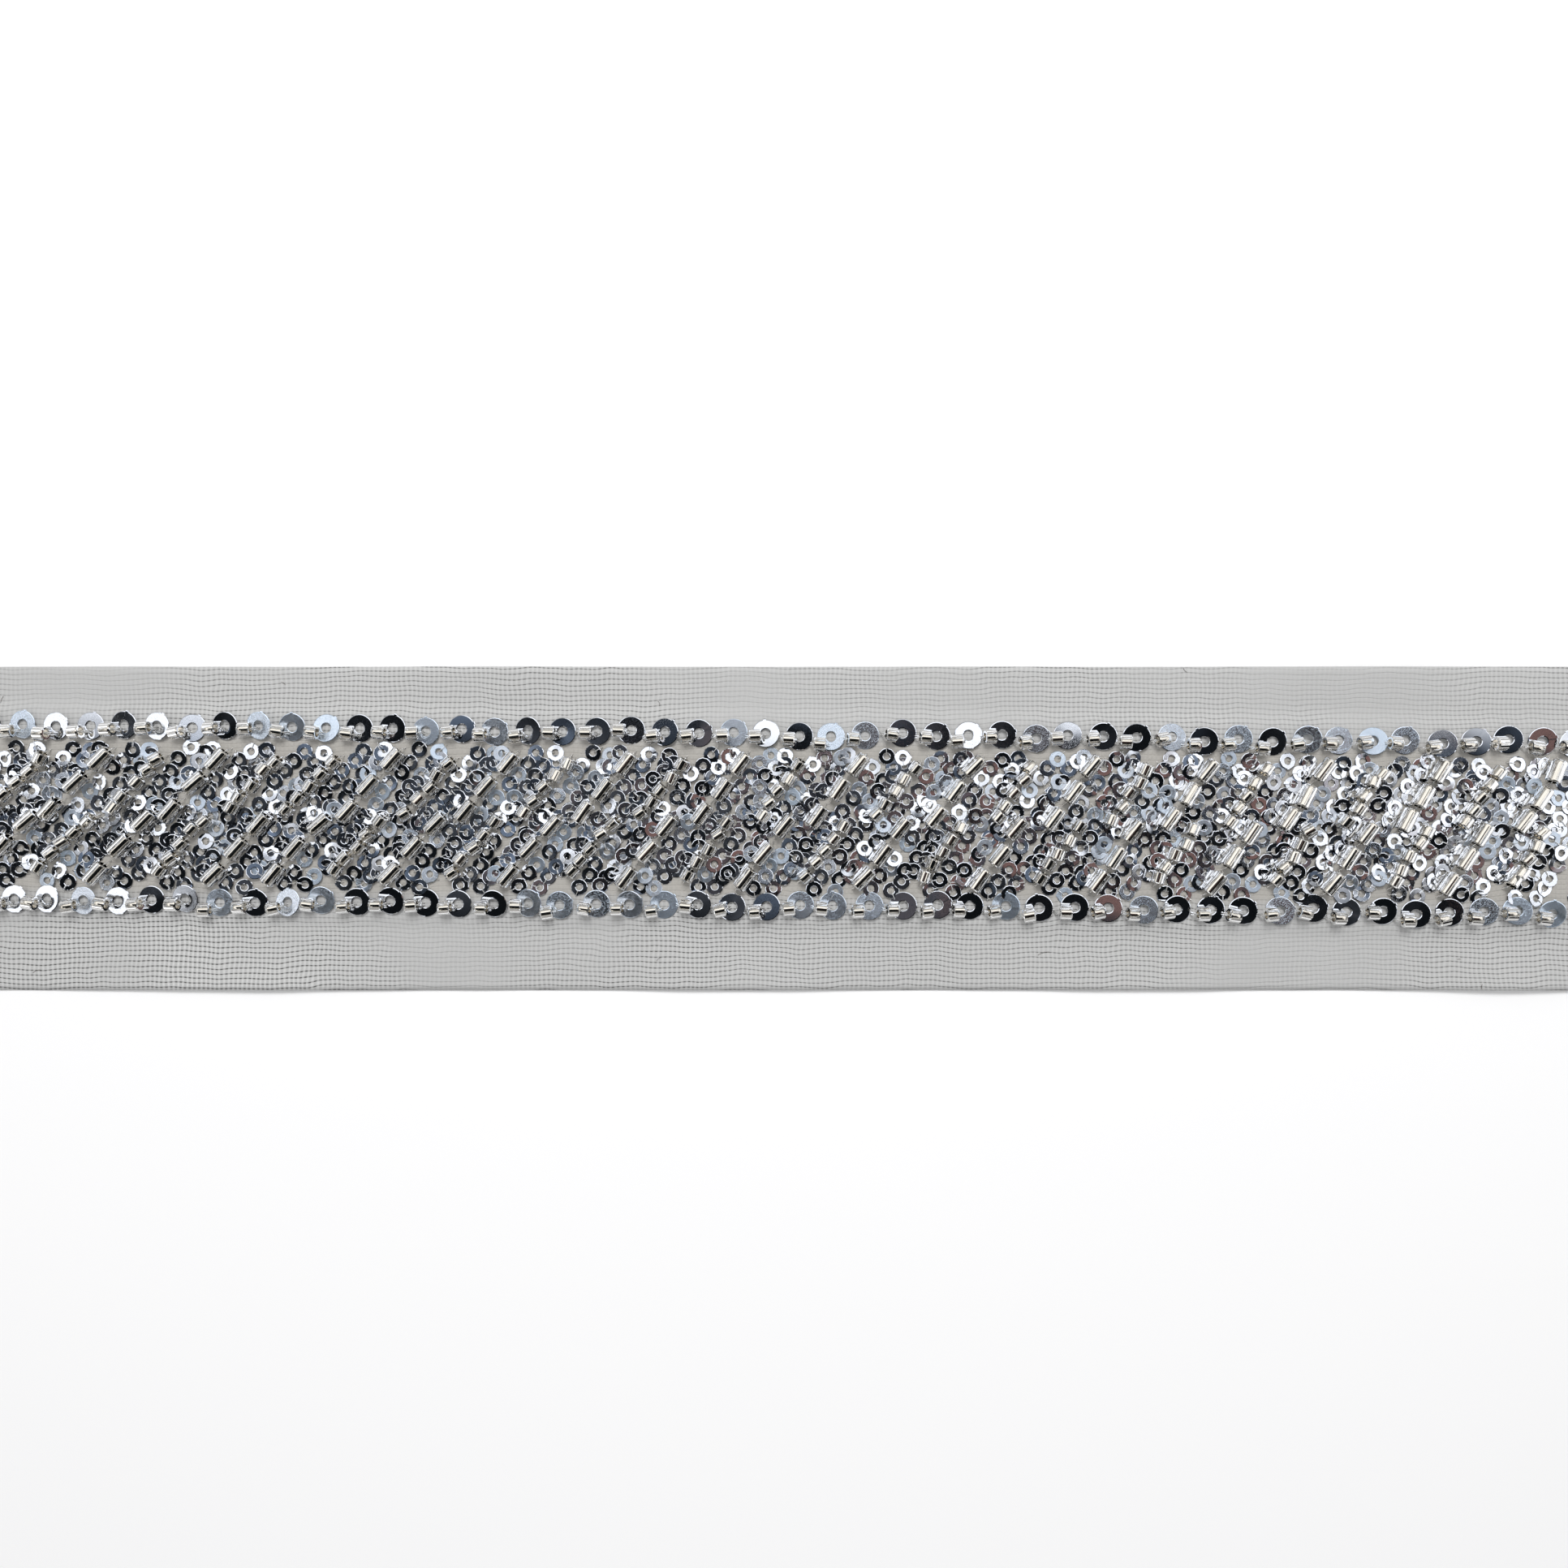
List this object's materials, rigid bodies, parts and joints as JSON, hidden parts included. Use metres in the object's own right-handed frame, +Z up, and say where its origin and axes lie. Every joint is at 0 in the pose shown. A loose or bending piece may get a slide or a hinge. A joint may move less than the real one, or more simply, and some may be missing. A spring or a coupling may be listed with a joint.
{
  "type": "sequin trim",
  "caption": "Flat cut length of sheer ribbed tape with two edge rows of large silvery sequins and a filling of slanted bugle beads, short beads and small sequins.",
  "frame": {"origin": "middle of the tape, on the surface that it lies on", "axes": "+X along the tape, +Y across it towards the edge row that lies nearer its own edge, +Z up out of the beaded side"},
  "size_m": [0.3, 0.058, 0.0037],
  "materials": {
    "ground_tape": "sheer woven ribbon, plain weave with lengthwise ribs",
    "sequin_film": "mirror-bright silvered film, lightly scratched",
    "bugle_glass": "clear glass tube with a bright silver lining"
  },
  "bodies": {
    "root": {"bugles_far_01": "bugle_glass", "bugles_far_02": "bugle_glass", "bugles_far_03": "bugle_glass", "bugles_far_04": "bugle_glass", "bugles_far_05": "bugle_glass", "bugles_far_06": "bugle_glass", "bugles_far_07": "bugle_glass", "bugles_far_08": "bugle_glass", "bugles_far_09": "bugle_glass", "bugles_far_10": "bugle_glass", "bugles_far_11": "bugle_glass", "bugles_far_12": "bugle_glass", "bugles_far_13": "bugle_glass", "bugles_near_01": "bugle_glass", "bugles_near_02": "bugle_glass", "bugles_near_03": "bugle_glass", "bugles_near_04": "bugle_glass", "bugles_near_05": "bugle_glass", "bugles_near_06": "bugle_glass", "bugles_near_07": "bugle_glass", "bugles_near_08": "bugle_glass", "bugles_near_09": "bugle_glass", "bugles_near_10": "bugle_glass", "bugles_near_11": "bugle_glass", "bugles_near_12": "bugle_glass", "bugles_near_13": "bugle_glass", "bugles_near_14": "bugle_glass", "edge_row_far": "sequin_film", "edge_row_near": "sequin_film", "ground_tape": "ground_tape", "sequin_block_far_01": "sequin_film", "sequin_block_far_02": "sequin_film", "sequin_block_far_03": "sequin_film", "sequin_block_far_04": "sequin_film", "sequin_block_far_05": "sequin_film", "sequin_block_far_06": "sequin_film", "sequin_block_far_07": "sequin_film", "sequin_block_far_08": "sequin_film", "sequin_block_far_09": "sequin_film", "sequin_block_far_10": "sequin_film", "sequin_block_far_11": "sequin_film", "sequin_block_far_12": "sequin_film", "sequin_block_far_13": "sequin_film", "sequin_block_far_14": "sequin_film", "sequin_block_near_01": "sequin_film", "sequin_block_near_02": "sequin_film", "sequin_block_near_03": "sequin_film", "sequin_block_near_04": "sequin_film", "sequin_block_near_05": "sequin_film", "sequin_block_near_06": "sequin_film", "sequin_block_near_07": "sequin_film", "sequin_block_near_08": "sequin_film", "sequin_block_near_09": "sequin_film", "sequin_block_near_10": "sequin_film", "sequin_block_near_11": "sequin_film", "sequin_block_near_12": "sequin_film", "sequin_block_near_13": "sequin_film", "sequin_block_near_14": "sequin_film", "sequin_block_near_15": "sequin_film"}
  },
  "joints": []
}
